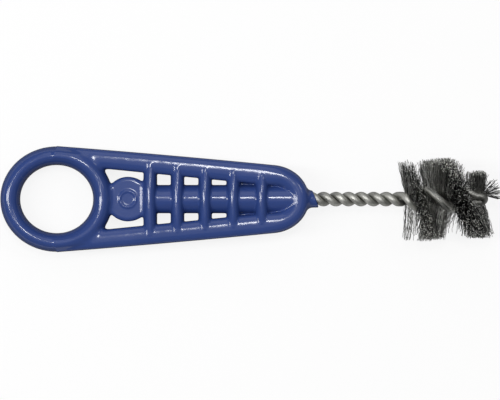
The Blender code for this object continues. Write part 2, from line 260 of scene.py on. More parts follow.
def smooth_union(first: Array, second: Array, blend: Array | float) -> Array:
    """Join two distance fields with a hollow fillet.

    Where the fields differ by less than the blend width k, the lesser one is lowered by (k - |a - b|)^2 / 4k.

    Args:
        first: Distances to one shape.
        second: Distances to the other.
        blend: Width k of the fillet.

    Returns:
        Distances to the joined shape.
    """
    overlap = np.maximum(blend - np.abs(first - second), 0)
    return np.minimum(first, second) - overlap * overlap / (4 * np.maximum(blend, TINY))


@dataclass(frozen=True)
class Arch:
    """Section of a moulded bar: |u|^across + |z / height|^up = 1, u being 0 at the crest and 1 at an edge."""

    up: float
    near_across: float = 2.0
    far_across: float = 2.0

    def distance(self, near: Array, far: Array, z: Array, height: Array | float) -> Array:
        """Distance to the bar: the formula's value less one, divided by the length of its gradient.

        Args:
            near: Distance inside the first edge in plan, negative outside.
            far: Distance inside the second edge.
            z: Height above the handle's middle plane.
            height: Height of the crest, which is half way between the edges.

        Returns:
            Signed distances, negative inside.
        """
        half = np.maximum(near + far, TINY) / 2
        past_crest = near / half - 1
        across = np.where(past_crest > 0, self.far_across, self.near_across)
        u, v = np.abs(past_crest), np.abs(z) / height
        slope = np.hypot(across * u ** (across - 1) / half, self.up * v ** (self.up - 1) / height)
        return (u**across + v**self.up - 1) / np.maximum(slope, TINY)


def oval_distance(x: Array, y: Array, half_length: float, half_width: float) -> Array:
    """Distance outside an ellipse in plan: its formula's root less one, over the root's gradient."""
    root = np.sqrt((x / half_length) ** 2 + (y / half_width) ** 2)
    slope = np.hypot(x / half_length**2, y / half_width**2) / np.maximum(root, TINY)
    return (root - 1) / np.maximum(slope, TINY)


@dataclass(frozen=True)
class TaperedEdge:
    """A nearly straight edge of a rail in plan that runs into a round end, and its mirror image."""

    at_ring: float
    slope: float
    bow: float
    ring_x: float
    oval_x: float
    end_x: float

    def line(self, x: Array | float) -> Array | float:
        """Half width of the long edge: h0 - slope d - bow d^2, d being the way from the ring's centre."""
        way = x - self.ring_x
        return self.at_ring - self.slope * way - self.bow * way * way

    def outside(self, x: Array, y: Array) -> Array:
        """Distance outside the edge.

        The round end is a half ellipse that the long edge touches: its half width b and half length a follow
        from b^2 = h^2 - (s a)^2, where h and s are the long edge's half width and slope over the ellipse's
        centre, and it takes over at s a^2 / h past that centre.

        Args:
            x: Place along the handle.
            y: Place across it.

        Returns:
            Signed distances, positive outside.
        """
        half_length = self.end_x - self.oval_x
        over_centre = self.line(self.oval_x)
        slope = self.slope + 2 * self.bow * (self.oval_x - self.ring_x)
        half_width = math.sqrt(over_centre**2 - (slope * half_length) ** 2)
        takes_over = self.oval_x + slope * half_length**2 / over_centre
        straight = (np.abs(y) - self.line(x)) / math.hypot(1, slope)
        return np.where(x < takes_over, straight, oval_distance(x - self.oval_x, y, half_length, half_width))


@dataclass
class MouldedHandle:
    """The handle: finger ring, two rails that close in a nose, cross ribs, centre tube, disc and collar."""

    collar_x: float
    ring_x: float = -76.93
    hole_half_length: float = 10.76
    hole_half_width: float = 10.0
    ring_back: float = 5.78
    ring_bridge: float = 5.83
    ring_side: float = 5.5
    ring_height: float = 5.3
    rail_height: float = 4.5
    rib_first_x: float = -49.4
    rib_pitch: float = 7.94
    rib_pitch_growth: float = 0.062
    rib_count: int = 5
    rib_width: float = 4.0
    rib_crown: float = 0.95
    tube_radius: float = 4.17
    web_start_x: float = -25.0
    web_thickness: float = 1.2
    disc_x: float = -55.9
    disc_radius: float = 6.55
    disc_height: float = 3.3
    disc_edge: float = 1.1
    bead_radius: float = 2.35
    bead_section: float = 0.42
    bead_sink: float = 0.16
    collar_radius: float = 2.5
    collar_start_x: float = -8.0
    collar_slant: float = 0.38
    collar_back: float = 0.76
    mesh_step: float = 0.33
    outer: TaperedEdge = TaperedEdge(15.6, 0.0765, 0.00017, -76.93, -14.04, -2.69)
    inner: TaperedEdge = TaperedEdge(10.35, 0.1005, 0.0, -76.93, -13.2, -8.5)
    ring_arch: Arch = Arch(2.4)
    rail_arch: Arch = Arch(7.0, 2.2)
    nose_arch: Arch = Arch(4.2)
    nose_arch_x: Span = (-17.0, -9.0)
    rib_arch: Arch = Arch(3.2)
    rib_fillet: float = 0.35
    tube_fillet: float = 0.4
    web_fillet: float = 0.3
    ring_fillet: Span = (0.05, 1.45)
    ring_fillet_from: float = 2.2
    disc_fillet: float = 1.1
    bead_fillet: float = 0.25
    collar_flare: float = 1.4

    def ring(self, x: Array, y: Array, z: Array) -> Array:
        """Distance to the finger ring, an arched bar between an oval hole and an oval fuller at the back."""
        dx = x - self.ring_x
        hole = oval_distance(dx, y, self.hole_half_length, self.hole_half_width)
        half_width = self.hole_half_width + self.ring_side
        back = oval_distance(dx, y, self.hole_half_length + self.ring_back, half_width)
        bridge = oval_distance(dx, y, self.hole_half_length + self.ring_bridge, half_width)
        return self.ring_arch.distance(hole, -np.where(dx > 0, bridge, back), z, self.ring_height)

    def rails(self, x: Array, y: Array, z: Array) -> Array:
        """Distance to both rails, flat topped, with a rounder nose. They start under the ring's crest."""
        sizes = (-self.outer.outside(x, y), self.inner.outside(x, y), z, self.rail_height)
        bars = (self.rail_arch.distance(*sizes), self.nose_arch.distance(*sizes))
        bar = between(bars, smooth_step(x, *self.nose_arch_x))
        hole = oval_distance(x - self.ring_x, y, self.hole_half_length, self.hole_half_width)
        return np.maximum(bar, np.maximum(self.ring_side / 2 - hole, self.ring_x - x))

    def rib(self, number: int, x: Array, y: Array, z: Array) -> Array:
        """Distance to a cross rib, crowned by a parabola from the rails' crest height to its middle."""
        place = self.rib_first_x + self.rib_pitch * number + self.rib_pitch_growth * number**2
        crest = (self.outer.line(place) + self.inner.line(place)) / 2
        height = self.rail_height + self.rib_crown * np.maximum(1 - (y / crest) ** 2, 0)
        near = x - place + self.rib_width / 2
        bar = self.rib_arch.distance(near, self.rib_width - near, z, height)
        return np.maximum(bar, np.abs(y) - crest)

    def web(self, x: Array, y: Array, z: Array) -> Array:
        """Distance to the thin web that closes the slots between the rails and the tube near the nose."""
        edge = np.maximum(self.inner.outside(x, y), self.web_start_x - x)
        return np.maximum(np.abs(z) - self.web_thickness / 2, edge)

    def tube(self, x: Array, y: Array, z: Array) -> Array:
        """Distance to the centre tube, which runs from the first rib into the nose."""
        nose = (self.outer.end_x + self.inner.end_x) / 2
        round_wall = np.hypot(y, z) - self.tube_radius
        return np.maximum(round_wall, np.maximum(self.rib_first_x - x, x - nose))

    def disc(self, x: Array, y: Array, z: Array) -> Array:
        """Distance to the flat disc with rounded edges, and to the plain moulded bead on its faces."""
        out = np.hypot(x - self.disc_x, y)
        beyond_wall = out - self.disc_radius + self.disc_edge
        beyond_face = np.abs(z) - self.disc_height + self.disc_edge
        edge = np.hypot(np.maximum(beyond_wall, 0), np.maximum(beyond_face, 0))
        disc = edge + np.minimum(np.maximum(beyond_wall, beyond_face), 0) - self.disc_edge
        bead_z = np.abs(z) - self.disc_height + self.bead_sink
        bead = np.hypot(out - self.bead_radius, bead_z) - self.bead_section
        return smooth_union(disc, bead, self.bead_fillet)

    def collar(self, x: Array, y: Array, z: Array) -> Array:
        """Distance to the collar, whose end is cut at a slant where the wire's groove leaves it."""
        wall = np.hypot(y, z) - self.collar_radius
        end = x + self.collar_back + self.collar_slant * y
        return np.maximum(wall, np.maximum(self.collar_start_x - x, np.maximum(end, x)))

    def distance(self, points: Array) -> Array:
        """Distance to the whole moulding.

        Its members are joined one after another, with crisp fillets between ribs and rails, a wide one round
        the ring and the disc, and a hollow flare at the collar. The ring's fillet fades at the silhouette.

        Args:
            points: Coordinates in millimetres from the collar's end, in the last axis.

        Returns:
            Signed distances, negative inside.
        """
        x, y, z = points[..., 0], points[..., 1], points[..., 2]
        body = self.rails(x, y, z)
        for number in range(self.rib_count):
            body = smooth_union(body, self.rib(number, x, y, z), self.rib_fillet)
        inland = smooth_step(-self.outer.outside(x, y), 0.0, self.ring_fillet_from)
        for member, fillet in (
            (self.tube, self.tube_fillet),
            (self.web, self.web_fillet),
            (self.ring, between(self.ring_fillet, inland)),
            (self.disc, self.disc_fillet),
            (self.collar, self.collar_flare),
        ):
            body = smooth_union(body, member(x, y, z), fillet)
        return body

    def build(self) -> Object:
        """Mesh the moulding as the zero level of its distance field and carry it into the frame."""
        half_width = self.hole_half_width + self.ring_side
        low = (self.ring_x - self.hole_half_length - self.ring_back, -half_width, -self.ring_height)
        high = (0.0, half_width, self.ring_height)
        points, quads = level_surface(self.distance, np.array(low), np.array(high), self.mesh_step)
        points[:, 0] += self.collar_x
        return new_piece("ring_handle", points, [quads])


def level_surface(distance: Field, low: Array, high: Array, step: float) -> tuple[Array, Indices]:
    """Mesh the surface on which a distance field is zero.

    The space is divided into cubes. A cube whose corners differ in sign holds one point, the mean of where
    its edges cross zero, and an edge that crosses zero joins the four cubes round it with a quad. The points
    are then evened out along the surface and set on it.

    Args:
        distance: The field.
        low: Lowest corner of the space.
        high: Highest corner of the space.
        step: Size of the cubes.

    Returns:
        Points and quads, which look outwards.
    """
    axes = [np.arange(lo - 2.5 * step, hi + 3 * step, step) for lo, hi in zip(low, high)]
    grid = np.stack(np.meshgrid(*axes, indexing="ij"), axis=-1)
    value = distance(grid)
    cells = tuple(n - 1 for n in value.shape)
    total = np.zeros(cells + (3,))
    crossings = np.zeros(cells)
    ways = np.eye(3, dtype=int)
    for way in ways:
        for corner in product(*(range(2 - k) for k in way)):
            here, ahead = (tuple(slice(c, c + n) for c, n in zip(at, cells)) for at in (corner, corner + way))
            start, end = value[here], value[ahead]
            crossed = (start < 0) != (end < 0)
            share = start / np.where(crossed, start - end, 1)
            total += (grid[here] + (share * step)[..., None] * way) * crossed[..., None]
            crossings += crossed
    used = crossings > 0
    number = np.full(cells, -1)
    number[used] = np.arange(used.sum())
    points = total[used] / crossings[used][:, None]
    quads = []
    for axis, way in enumerate(ways):
        core = [slice(1, -1)] * 3
        core[axis] = slice(None, -1)
        a = value[tuple(core)] < 0
        core[axis] = slice(1, None)
        b = value[tuple(core)] < 0
        at = np.argwhere(a != b) + 1 - way
        first, second = ways[(axis + 1) % 3], ways[(axis + 2) % 3]
        ring = [at - first - second, at - second, at, at - first]
        faces = np.stack([number[tuple(cell.T)] for cell in ring], axis=-1)
        quads.append(np.where(a[a != b][:, None], faces, faces[:, ::-1]))
    quads = np.concatenate(quads)
    for _ in range(4):
        points = settle(distance, even_out(points, quads), step)
    return points, quads


def even_out(points: Array, quads: Indices) -> Array:
    """Move each point half way to the mean of its neighbours along the quads' edges."""
    corners = quads.ravel()
    total = np.zeros_like(points)
    for turn in (1, -1):
        beside = np.roll(quads, turn, axis=1).ravel()
        for axis in range(3):
            total[:, axis] += np.bincount(corners, points[beside, axis], len(points))
    count = 2 * np.bincount(corners, minlength=len(points))
    return points + 0.5 * (total / count[:, None] - points)


def settle(distance: Field, points: Array, step: float) -> Array:
    """Set points on the field f's zero level by two steps of f g / |g|^2, g being its gradient."""
    reach = step / 10
    for _ in range(2):
        rise = [distance(points + way) - distance(points - way) for way in np.eye(3) * reach]
        slope = np.stack(rise, axis=-1) / (2 * reach)
        step_back = distance(points) / np.maximum((slope * slope).sum(-1), 0.05)
        points = points - np.clip(step_back, -step, step)[:, None] * slope
    return points


@dataclass
class TwistedWire:
    """One round wire, folded at the brush's tip and twisted on itself: a tight stem, and a slack head."""

    collar_x: float
    diameter: float = 2.16
    stem_lead: float = 7.36
    head_lead: float = 22.4
    tip_lead: float = 52.0
    head_start: float = 23.6
    head_length: float = 24.2
    slowing: Span = (13.5, 18.0)
    embedded: float = 32.0
    ease: float = 2.5
    swell: float = 3.2
    closing: float = 4.6
    closed: float = 0.9
    layer: float = 3.4
    sides: int = 20
    route_points: int = 480
    twist_points: int = 4000
    fold_points: int = 24

    def girth(self) -> float:
        """Length once round the wire."""
        return math.pi * self.diameter

    def head_end(self) -> float:
        """Where the fold starts, from the collar."""
        return self.head_start + self.head_length

    def tip_x(self) -> float:
        """Place of the brush's tip in the frame."""
        return self.collar_x + self.head_end() + self.diameter

    def twist(self, x: Array) -> Array:
        """Angle of the first strand about the axis, zero at the head's start.

        It is the sum of a rate along the axis: one turn a stem lead up to the head, then one turn a head lead
        plus a rest of the stem's rate that dies away as exp(-d / ease), d being the way into the head, and at
        last one turn a tip lead, where the thick layer keeps the strands from turning on.

        Args:
            x: Places along the axis.

        Returns:
            Angles in radians.
        """
        grid = np.linspace(-self.embedded, self.head_end() + self.diameter, self.twist_points)
        stem, head, tip = (2 * math.pi / lead for lead in (self.stem_lead, self.head_lead, self.tip_lead))
        into = np.maximum(grid - self.head_start, 0)
        rate = head + (stem - head) * np.exp(-into / self.ease)
        rate += (tip - head) * smooth_step(into, *self.slowing)
        steps = np.diff(grid) * (rate[1:] + rate[:-1]) / 2
        angle = np.concatenate([[0.0], np.cumsum(steps)])
        return np.interp(x, grid, angle) - np.interp(self.head_start, grid, angle)

    def parting(self, x: Array) -> Array:
        """Gap between the strands: the layer's thickness in the head, closed in the stem and at the fold."""
        to_fold = self.head_end() - self.closed - x
        opened = smooth_step(x - self.head_start, 0.0, self.swell)
        return self.layer * opened * smooth_step(to_fold, 0.0, self.closing)

    def strand_offset(self, x: Array) -> Array:
        """Distance of a strand's centre from the axis: half a wire and half the gap between the strands."""
        return self.diameter / 2 + self.parting(x) / 2

    def route(self) -> tuple[Array, Array]:
        """Centre line of the wire, out along one strand, round the fold and back along the other.

        A strand's point is (x, r cos(a), r sin(a)) with a the twist and r the strand's offset, of one sign on
        the way out and the other on the way back. In the fold x is the head's end + R sin(t) and r R cos(t).

        Returns:
            The points, and the twist angle at each.
        """
        end = self.head_end()
        x = np.linspace(-self.embedded, end, self.route_points)
        fold = np.linspace(0, math.pi, self.fold_points + 2)[1:-1]
        radius = float(self.strand_offset(np.array(end)))
        along = np.concatenate([x, end + radius * np.sin(fold), x[::-1]])
        offset = np.concatenate([self.strand_offset(x), radius * np.cos(fold), -self.strand_offset(x[::-1])])
        angle = self.twist(along)
        path = offset[:, None] * radial(angle)
        path[:, 0] = along
        return path, angle

    def build(self) -> Object:
        """Carry the wire's round section along its route, with the way along and round it as UV."""
        path, angle = self.route()
        radius = np.full(len(path), self.diameter / 2)
        points = swept_tube(path, radial(angle + math.pi / 2), radius, self.sides).reshape(-1, 3)
        points[:, 0] += self.collar_x
        piece = new_piece("folded_wire_stem", points, tube_faces(1, len(path), self.sides))
        self.write_uv(piece, path)
        return piece

    def write_uv(self, piece: Object, path: Array) -> None:
        """Give the wire a UV map of millimetres: u is the way along it and v the way round it.

        Args:
            piece: The wire's tube, whose points run by station and side.
            path: Its centre line.
        """
        along = np.concatenate([[0.0], np.cumsum(np.linalg.norm(np.diff(path, axis=0), axis=1))])
        corners = np.zeros(len(piece.data.loops), np.int32)
        piece.data.loops.foreach_get("vertex_index", corners)
        side = corners % self.sides
        walls = side[: 4 * self.sides * (len(path) - 1)].reshape(-1, 4)
        walls[:, 1:3] = walls[:, :1] + 1
        uv = np.stack([along[corners // self.sides], side * self.girth() / self.sides], axis=-1)
        piece.data.uv_layers.new(name="wire_mm").data.foreach_set("uv", uv.astype(np.float32).ravel())


@dataclass(frozen=True)
class RidgeForm:
    """How one ridge's bristles stand, by the share of the layer's length, from the stem to the fold.

    The rows of a table start with their share. Then come the mean lean along the axis and its spread, in
    degrees, or the painted light and shade that is added to the filaments' tone. The density of filaments
    starts low, and is full past the filling.
    """

    lean: Table
    painted_sheen: Table
    start_density: float
    filling: Span


FORMS = {
    Ridge.FULL: RidgeForm(
        lean=(
            (0.0, 0, 3), (0.2, 2, 4), (0.3, -3, 7), (0.36, -10, 7), (0.44, -1, 11), (0.5, 5, 9),
            (0.56, 6, 9), (0.62, 6, 13), (0.7, 5, 17), (0.8, 8, 15), (0.88, 9, 11), (1.0, 5, 7),
        ),
        painted_sheen=((0.25, 0.0), (0.42, 0.5), (0.6, 0.0), (0.75, -0.1), (1.0, -0.1)),
        start_density=0.09,
        filling=(0.24, 0.3),
    ),
    Ridge.WORN: RidgeForm(
        lean=(
            (0.0, -8, 2), (0.1, -6, 3), (0.2, -4, 5), (0.28, -6, 8), (0.36, -9, 9),
            (0.45, -9, 8), (0.55, -11, 3), (0.65, 0, 4), (0.8, 2, 3), (1.0, -3, 3),
        ),
        painted_sheen=((0.2, 0.0), (0.42, 0.3), (0.6, 0.2), (1.0, 0.2)),
        start_density=0.3,
        filling=(0.1, 0.16),
    ),
}


@dataclass
class FilamentEnds:
    """A row of filament ends, with one value of each kind for every end, in millimetres and degrees.

    An end starts at a place on the axis and a side step in the layer, a share of the layer's thickness. It
    runs outwards for its reach, with a lean along the axis and a splay round it. Painted sheen is added to
    its tone.
    """

    place: Array
    step: Array
    lean: Array
    splay: Array
    reach: Array
    painted_sheen: Array | float


@dataclass
class BristleHead:
    """Crimped steel filaments laid across between the strands, gripped by the twist into two helical ridges.

    Lengths are in millimetres and angles in degrees. A share is one of the layer's length, from the stem to
    the fold.
    """

    wire: TwistedWire

    # The layer and its filaments
    bundles: int = 12
    per_bundle: int = 230
    layer_start: float = 2.3
    into_fold: float = 0.7
    grip_half: float = 0.46
    radius: float = 12.6
    filament: float = 0.16
    stations: int = 14
    sides: int = 3
    crimp_pitch: float = 2.6
    crimp_height: float = 0.11
    crimp_ratio: float = 0.83
    crimp_grows: Span = (1.0, 3.0)
    cut_end: float = 0.03
    burr: float = 1.4
    chance: np.random.Generator = field(default_factory=lambda: np.random.default_rng(11))

    # Lean along the axis and splay round it
    lean_scatter: float = 2.0
    clump_lean: float = 3.0
    splay: float = 19.0
    splay_scatter: float = 4.0
    flattened: float = 10.0
    bends: Span = (0.4, 2.0)
    drag: float = 1.4
    drag_grows: Span = (0.3, 3.1)
    turn_on: float = 80.0
    turn_on_from: float = 15.0

    # Wear: filaments lost and shortened ends; and painted sheen on the filaments beside the strand
    worn_out: Span = (0.56, 0.85)
    worn_out_density: float = 0.08
    worn_radius: float = 8.9
    worn_from: Span = (0.6, 0.82)
    tip_wear: float = 1.2
    tip_wear_from: Span = (0.8, 0.95)
    uneven: Span = (0.4, 0.2)
    uneven_until: float = 0.16
    clump_wear: float = 0.5
    wavy_wear: float = 0.9
    strand_painted_sheen: float = 0.5
    strand_touch: Span = (0.36, 0.42)
    fresh_cut: float = 0.5

    # Ends that fan out forwards at the fold
    fan_count: int = 60
    fan_lean: Span = (20.0, 114.0)
    fan_splay: float = 25.0
    fan_reach: Span = (8.4, 5.4)
    fan_places: Span = (-0.8, 1.2)

    # Filaments combed along the strands
    combed_count: int = 6
    combed_bundles: tuple[int, ...] = (2, 3, 4)
    combed_tone: Span = (0.8, 1.0)
    combed_length: Span = (4.0, 7.5)

    def place_at(self, share: Array) -> Array:
        """Place on the axis of a share of the layer's length."""
        length = self.wire.head_length - self.layer_start + self.into_fold
        return self.wire.head_start + self.layer_start + length * share

    def ridge_ends(self, number: int, ridge: Ridge) -> FilamentEnds:
        """Draw the filament ends of one bundle on one ridge.

        Ends stand in clumps, which lean together and are worn together: sin(5.1 p + 0.7 k) sin(2.3 p + 1.9),
        where p is the place in millimetres and k the ridge's side. A longer wave of wear is sin(1.3 (p + k)).

        Args:
            number: The bundle's place from the stem, from zero.
            ridge: The ridge on which the ends stand.

        Returns:
            The ends that are left, as many filaments have been lost.
        """
        form = FORMS[ridge]
        share = (number + np.sort(self.chance.uniform(0, 1, self.per_bundle))) / self.bundles
        density = between((form.start_density, 1.0), smooth_step(share, *form.filling))
        if ridge is Ridge.WORN:
            start, end = self.worn_out
            density = density * np.where((share > start) & (share < end), self.worn_out_density, 1.0)
        share = share[self.chance.uniform(0, 1, len(share)) < density]
        count = len(share)
        place = self.place_at(share)
        clump = np.sin(place * 5.1 + 0.7 * ridge.value) * np.sin(place * 2.3 + 1.9)
        wave = np.sin(1.3 * (place + ridge.value))
        worn = smooth_step(share, *self.worn_from) if ridge is Ridge.WORN else np.zeros(count)
        sweep, spread = read_table(form.lean, share)
        lean = sweep + spread * self.chance.uniform(-1, 1, count)
        lean = lean + self.lean_scatter * self.chance.normal(0, 1, count) + self.clump_lean * clump
        splay = self.splay * (1 - 0.5 * worn) * self.chance.uniform(-1, 1, count)
        splay = splay + self.splay_scatter * self.chance.normal(0, 1, count)
        step = self.chance.uniform(-self.grip_half, self.grip_half, count)
        (painted_sheen,) = read_table(form.painted_sheen, share)
        # Filaments beside the strand get more painted sheen
        painted_sheen = painted_sheen + self.strand_painted_sheen * smooth_step(np.abs(step), *self.strand_touch)
        uneven = between(self.uneven, smooth_step(share, 0.0, self.uneven_until))
        reach = between((self.radius, self.worn_radius), worn)
        reach = reach - self.tip_wear * smooth_step(share, *self.tip_wear_from) * (1 - worn)
        reach = reach * (1 - uneven * self.chance.beta(1.1, 4.5, count))
        reach = reach - self.clump_wear * (clump + 1) / 2 - self.wavy_wear * (wave + 1) / 2
        return FilamentEnds(place, step, lean, splay, reach / np.cos(np.radians(lean)), painted_sheen)

    def fan_ends(self) -> FilamentEnds:
        """Draw the loose ends of the worn ridge that fan out forwards at the fold, from upright to flat."""
        count = self.fan_count
        share = np.sort(self.chance.uniform(0, 1, count))
        lean = between(self.fan_lean, share) + self.chance.uniform(-5, 5, count)
        reach = between(self.fan_reach, share) * self.chance.uniform(0.8, 1.05, count)
        place = self.wire.head_end() + between(self.fan_places, share)
        place = place + self.chance.uniform(-0.3, 0.3, count)
        step = self.chance.uniform(-0.3, 0.3, count)
        splay = self.chance.uniform(-self.fan_splay, self.fan_splay, count)
        return FilamentEnds(place, step, lean, splay, reach, 0.0)

    def crimped(self, ends: FilamentEnds, ridge: Ridge) -> Strip:
        """Run filaments to their ends, and draw their crimp and tone.

        At the way s, a filament is s cos(lean) from the axis and has drifted s sin(lean) along it. The sine
        of its turn about the axis is its side way over that distance: its step in the layer, plus distance
        times sin(splay). The strand that it touches drags it along at first, and two sine waves of the crimp
        grow from nothing in the grip. The brush has been pressed flat, so the ridges turn slowly beside the
        axis and fast over it, by a sine of twice their angle.

        Args:
            ends: The ends.
            ridge: The ridge on which they stand.

        Returns:
            The filaments' strip.
        """
        count = len(ends.place)
        phase = self.chance.uniform(0, 2 * math.pi, (count, 2))
        pitch = self.crimp_pitch * self.chance.uniform(0.8, 1.25, count)
        # Each filament's own random tone, plus its painted sheen
        tone = np.clip(self.chance.beta(0.5, 1.4, count) + ends.painted_sheen, 0.0, 1.0)
        into = ends.place - self.wire.head_start
        turning = smooth_step(into, self.turn_on_from, self.wire.head_length)
        angle = self.wire.twist(ends.place) + math.radians(self.turn_on) * turning
        angle = (angle + math.radians(self.flattened) * np.sin(2 * angle))[:, None]
        share = np.append(np.linspace(0, 1 - self.cut_end, self.stations - 1), 1.0)
        way = share * ends.reach[:, None]
        bent = smooth_step(way, *self.bends)
        lean = np.radians(ends.lean)[:, None] * bent
        steps = np.diff(way, axis=1, prepend=0)
        distance = np.cumsum(steps * np.cos(lean), axis=1)
        step = ends.step[:, None]
        drift = np.cumsum(steps * np.sin(lean), axis=1)
        dragged = self.drag * 4 * step * np.abs(step) * smooth_step(distance, *self.drag_grows)
        drift += ridge.value * dragged
        aside = step * self.wire.parting(ends.place)[:, None]
        aside = aside + distance * np.sin(np.radians(ends.splay))[:, None] * bent
        out = distance * np.sqrt(1 - np.clip(aside / np.maximum(distance, 3.6), -0.9, 0.9) ** 2)
        grown = smooth_step(way, *self.crimp_grows) * self.crimp_height
        turn = 2 * math.pi * way / pitch[:, None]
        aside = aside + grown * np.sin(turn + phase[:, :1])
        drift = drift + grown * np.sin(self.crimp_ratio * turn + phase[:, 1:])
        side = np.broadcast_to(radial(angle), (*way.shape, 3))
        path = (ridge.value * out)[..., None] * radial(angle + math.pi / 2) + aside[..., None] * side
        path[..., 0] += ends.place[:, None] + drift
        return path, side, tone

    def combed(self, number: int, strand: int) -> Strip:
        """Draw filaments that the twist has combed along a strand, on whose surface they lie.

        A point is the strand's centre + R (o cos(t) + c sin(t)), where o is the way outwards from the axis, c
        is square to it, t slides a little along the filament, and R is the wire's radius and a growing lift.

        Args:
            number: The bundle's place from the stem, from zero.
            strand: The wire's strand, 1 on the way out and -1 on the way back.

        Returns:
            The filaments' strip.
        """
        size = (self.combed_count, 1)
        first = self.place_at((number + self.chance.uniform(0, 1, size)) / self.bundles)
        share = np.linspace(0, 1, self.stations)
        x = first + self.chance.uniform(*self.combed_length, size) * share
        angle = self.wire.twist(x)
        outward = strand * radial(angle)
        turn = self.chance.uniform(-1.5, 1.5, size) + self.chance.uniform(-0.6, 0.6, size) * share
        lift = self.filament * self.chance.uniform(0.2, 0.6, size)
        lift = lift + self.chance.uniform(0, 0.7, size) * share**2
        rim = (self.wire.diameter / 2 + lift)[..., None] * strand * radial(angle + turn)
        path = self.wire.strand_offset(x)[..., None] * outward + rim
        path[..., 0] += x
        return path, outward, self.chance.uniform(*self.combed_tone, self.combed_count)

    def build_bundle(self, number: int) -> Object:
        """Make the filaments of one bundle as one piece.

        Each filament has its tone from 0 to 1, with painted sheen in it, and a freshly cut end has 1 more.

        Args:
            number: The bundle's place from the stem, from zero.

        Returns:
            The piece.
        """
        strips = [self.crimped(self.ridge_ends(number, ridge), ridge) for ridge in Ridge]
        if number == self.bundles - 1:
            strips.append(self.crimped(self.fan_ends(), Ridge.WORN))
        if number in self.combed_bundles:
            strips += [self.combed(number, strand) for strand in (1, -1)]
        tubes, tones = [], []
        for path, side, shade in strips:
            thick = np.full(path.shape[:2], self.filament / 2)
            thick[:, -1] *= self.burr
            tubes.append(swept_tube(path, side, thick, self.sides))
            tone = np.repeat(shade[:, None], self.stations * self.sides, axis=1)
            tone[self.chance.uniform(0, 1, len(tone)) < self.fresh_cut, -self.sides:] += 1.0
            tones.append(tone.ravel())
        points = np.concatenate(tubes).reshape(-1, 3)
        points[:, 0] += self.wire.collar_x
        faces = tube_faces(sum(map(len, tubes)), self.stations, self.sides)
        piece = new_piece(f"bristles_{number + 1:02d}", points, faces)
        tone = piece.data.attributes.new("filament_tone_and_sheen", "FLOAT", "POINT")
        tone.data.foreach_set("value", np.concatenate(tones).astype(np.float32))
        return piece

    def build(self) -> list[Object]:
        """Make every bundle, in order, as they share one seeded source of draws."""
        return [self.build_bundle(number) for number in range(self.bundles)]


@dataclass(frozen=True)
class MouldedPolypropylene:
    """Injection moulded polypropylene, violet blue, from a polished mould. Sizes are in millimetres."""

    colour: str = "#2C4480"
    pale: str = "#364B8B"
    ior: float = 1.49
    roughness: Span = (0.11, 0.21)
    cloud_size: float = 9.0
    sink_size: float = 3.2
    sink_depth: float = 0.16
    sink_strength: float = 0.35
    pebble_size: float = 0.5
    pebble_depth: float = 0.012
    pebble_strength: float = 0.12

    def material(self) -> Material:
        """Build the material: a glossy skin with faint sink marks, flow clouds and a fine pebble."""
        # Glossy polypropylene gives the eye tight white glints that wander where the skin has shrunk
        material, tree, shader = new_material("moulded_polypropylene_blue")
        place = add_node(tree, "TexCoord").outputs["Object"]
        clouds, sinks, pebble = (
            add_node(tree, "TexNoise", {"Vector": place, "Scale": 1 / (size * MM), "Detail": detail})
            for size, detail in ((self.cloud_size, 3.0), (self.sink_size, 1.0), (self.pebble_size, 2.0))
        )
        tint = add_node(
            tree,
            "MixRGB",
            {"Fac": clouds, "Color1": hex_to_linear(self.colour), "Color2": hex_to_linear(self.pale)},
        )
        least, most = self.roughness
        gloss = add_node(tree, "MapRange", {"Value": clouds, "To Min": least, "To Max": most})
        sunken = {"Height": sinks, "Strength": self.sink_strength, "Distance": self.sink_depth * MM}
        fine = {"Height": pebble, "Strength": self.pebble_strength, "Distance": self.pebble_depth * MM}
        skin = add_node(tree, "Bump", fine | {"Normal": add_node(tree, "Bump", sunken)})
        plug(tree, shader, {"Base Color": tint, "Roughness": gloss, "Normal": skin, "IOR": self.ior})
        return material


